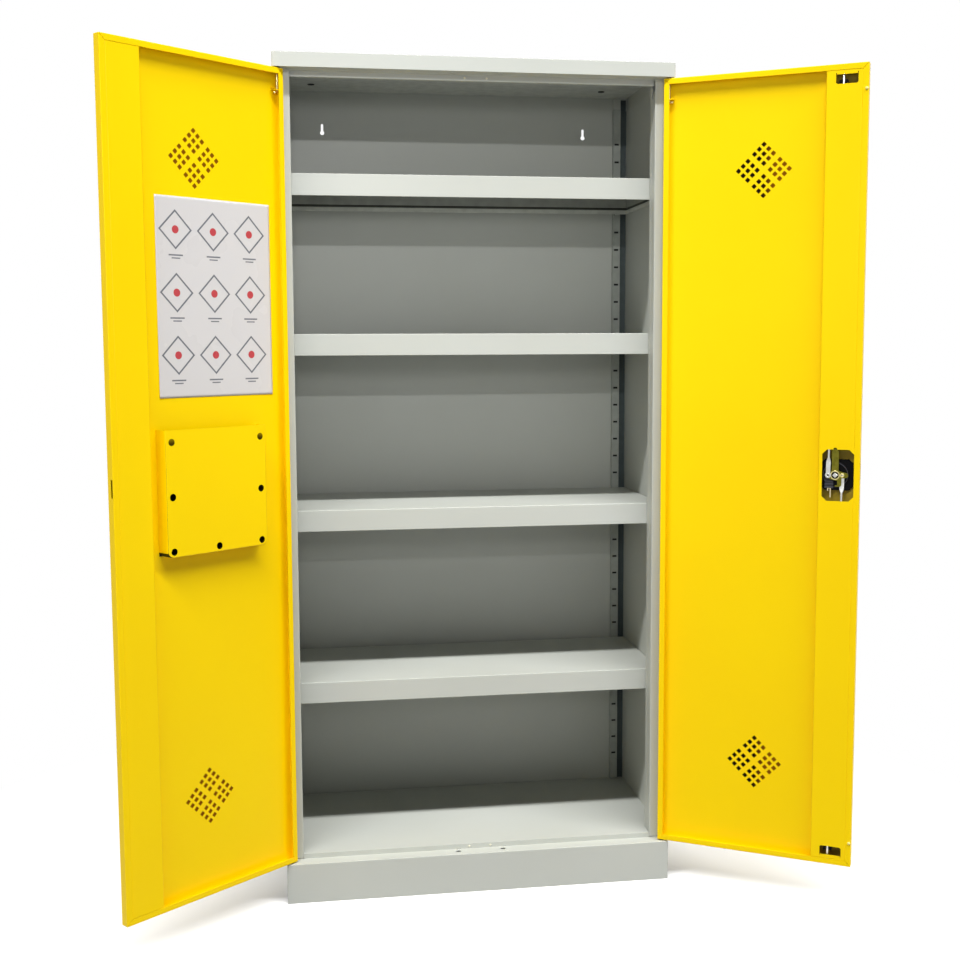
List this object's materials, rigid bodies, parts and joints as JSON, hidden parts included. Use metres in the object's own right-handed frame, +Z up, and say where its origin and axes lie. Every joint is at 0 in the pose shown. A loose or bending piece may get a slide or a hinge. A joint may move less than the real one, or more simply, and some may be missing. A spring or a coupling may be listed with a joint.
{
  "type": "chemical storage cabinet",
  "caption": "Tall sheet-steel cabinet on a plinth with adjustable shelves, two vented hinged doors with a rod lock, and a document pocket.",
  "frame": {"origin": "middle of the plinth's lower front edge, on the floor", "axes": "+X to the right as seen from the front, +Y from the front to the back, +Z up"},
  "size_m": [1.6391, 0.725, 1.95],
  "materials": {
    "grey_paint": "satin powder coat, light grey",
    "yellow_paint": "satin powder coat, signal yellow",
    "galvanised_steel": "zinc plated",
    "chromate_steel": "yellow chromate plated",
    "brass": "plain",
    "black_plastic": "moulded, satin",
    "pale_plastic": "moulded, satin",
    "gauze": "dark woven gauze",
    "laminated_paper": "laminated print",
    "rubber": "dull"
  },
  "bodies": {
    "carcass": {"plinth": "grey_paint", "floor_pan": "grey_paint", "side_panel_left": "grey_paint", "side_panel_right": "grey_paint", "back_panel": "grey_paint", "top_cap": "grey_paint", "header_rail": "grey_paint", "ceiling_plug_left": "black_plastic", "ceiling_plug_right": "black_plastic", "hinge_bush_upper_left": "black_plastic", "hinge_bush_upper_right": "black_plastic", "hinge_bush_lower_left": "black_plastic", "hinge_bush_lower_right": "black_plastic", "buffer_header_left": "pale_plastic", "buffer_header_right": "pale_plastic", "buffer_floor_left": "pale_plastic", "buffer_floor_right": "pale_plastic", "upright_rear_left": "grey_paint", "upright_rear_right": "grey_paint", "upright_front_left": "grey_paint", "upright_front_right": "grey_paint", "shelf_1": "grey_paint", "shelf_2": "grey_paint", "shelf_3": "grey_paint", "shelf_4": "grey_paint"},
    "left_door": {"left_door_pan": "yellow_paint", "left_door_stiffener": "yellow_paint", "left_door_upper_vent_screen": "gauze", "left_door_upper_vent_frame": "yellow_paint", "left_door_lower_vent_screen": "gauze", "left_door_lower_vent_frame": "yellow_paint", "left_door_upper_hinge_pin": "galvanised_steel", "left_door_lower_hinge_pin": "galvanised_steel", "document_pocket": "yellow_paint", "notice_sheet": "laminated_paper", "left_door_button": "rubber"},
    "right_door": {"right_door_pan": "yellow_paint", "right_door_stiffener": "yellow_paint", "right_door_upper_vent_screen": "gauze", "right_door_upper_vent_frame": "yellow_paint", "right_door_lower_vent_screen": "gauze", "right_door_lower_vent_frame": "yellow_paint", "right_door_upper_hinge_pin": "galvanised_steel", "right_door_lower_hinge_pin": "galvanised_steel", "right_door_upper_buffer": "pale_plastic", "right_door_lower_buffer": "pale_plastic", "handle_dish": "black_plastic", "lock_block": "black_plastic", "upper_rod_guide": "black_plastic", "lower_rod_guide": "black_plastic"},
    "handle": {"handle_grip": "black_plastic", "handle_spindle": "galvanised_steel", "lock_cam": "chromate_steel"},
    "upper_rod": {"upper_rod": "galvanised_steel"},
    "lower_rod": {"lower_rod": "galvanised_steel"},
    "key": {"lock_bolt": "brass", "lock_plug": "galvanised_steel", "key": "galvanised_steel"}
  },
  "joints": [
    {"name": "left_door_hinge", "type": "hinge", "parent": "carcass", "child": "left_door", "pos_m": [-0.449, 0.014, 1], "axis": [0, 0, 1], "range_deg": [-29.67, 140.33]},
    {"name": "right_door_hinge", "type": "hinge", "parent": "carcass", "child": "right_door", "pos_m": [0.449, 0.014, 1], "axis": [0, 0, 1], "range_deg": [-148.9, 21.1]},
    {"name": "handle_turn", "type": "hinge", "parent": "right_door", "child": "handle", "pos_m": [0.78637, -0.18951, 1.007], "axis": [0.5165, 0.8563, 0], "range_deg": [0, 90]},
    {"name": "upper_rod_slide", "type": "slide", "parent": "right_door", "child": "upper_rod", "axis": [0, 0, 1], "range_m": [0, 0.0155]},
    {"name": "lower_rod_slide", "type": "slide", "parent": "right_door", "child": "lower_rod", "axis": [0, 0, -1], "range_m": [0, 0.0156]},
    {"name": "key_turn", "type": "hinge", "parent": "right_door", "child": "key", "pos_m": [0.77481, -0.18254, 0.989], "axis": [-0.5165, -0.8563, 0], "range_deg": [0, 90]}
  ],
  "couplings": [
    {"joint": "handle_turn", "follows": "upper_rod_slide", "rad_per_m": 101.3},
    {"joint": "lower_rod_slide", "follows": "upper_rod_slide", "ratio": 1}
  ]
}
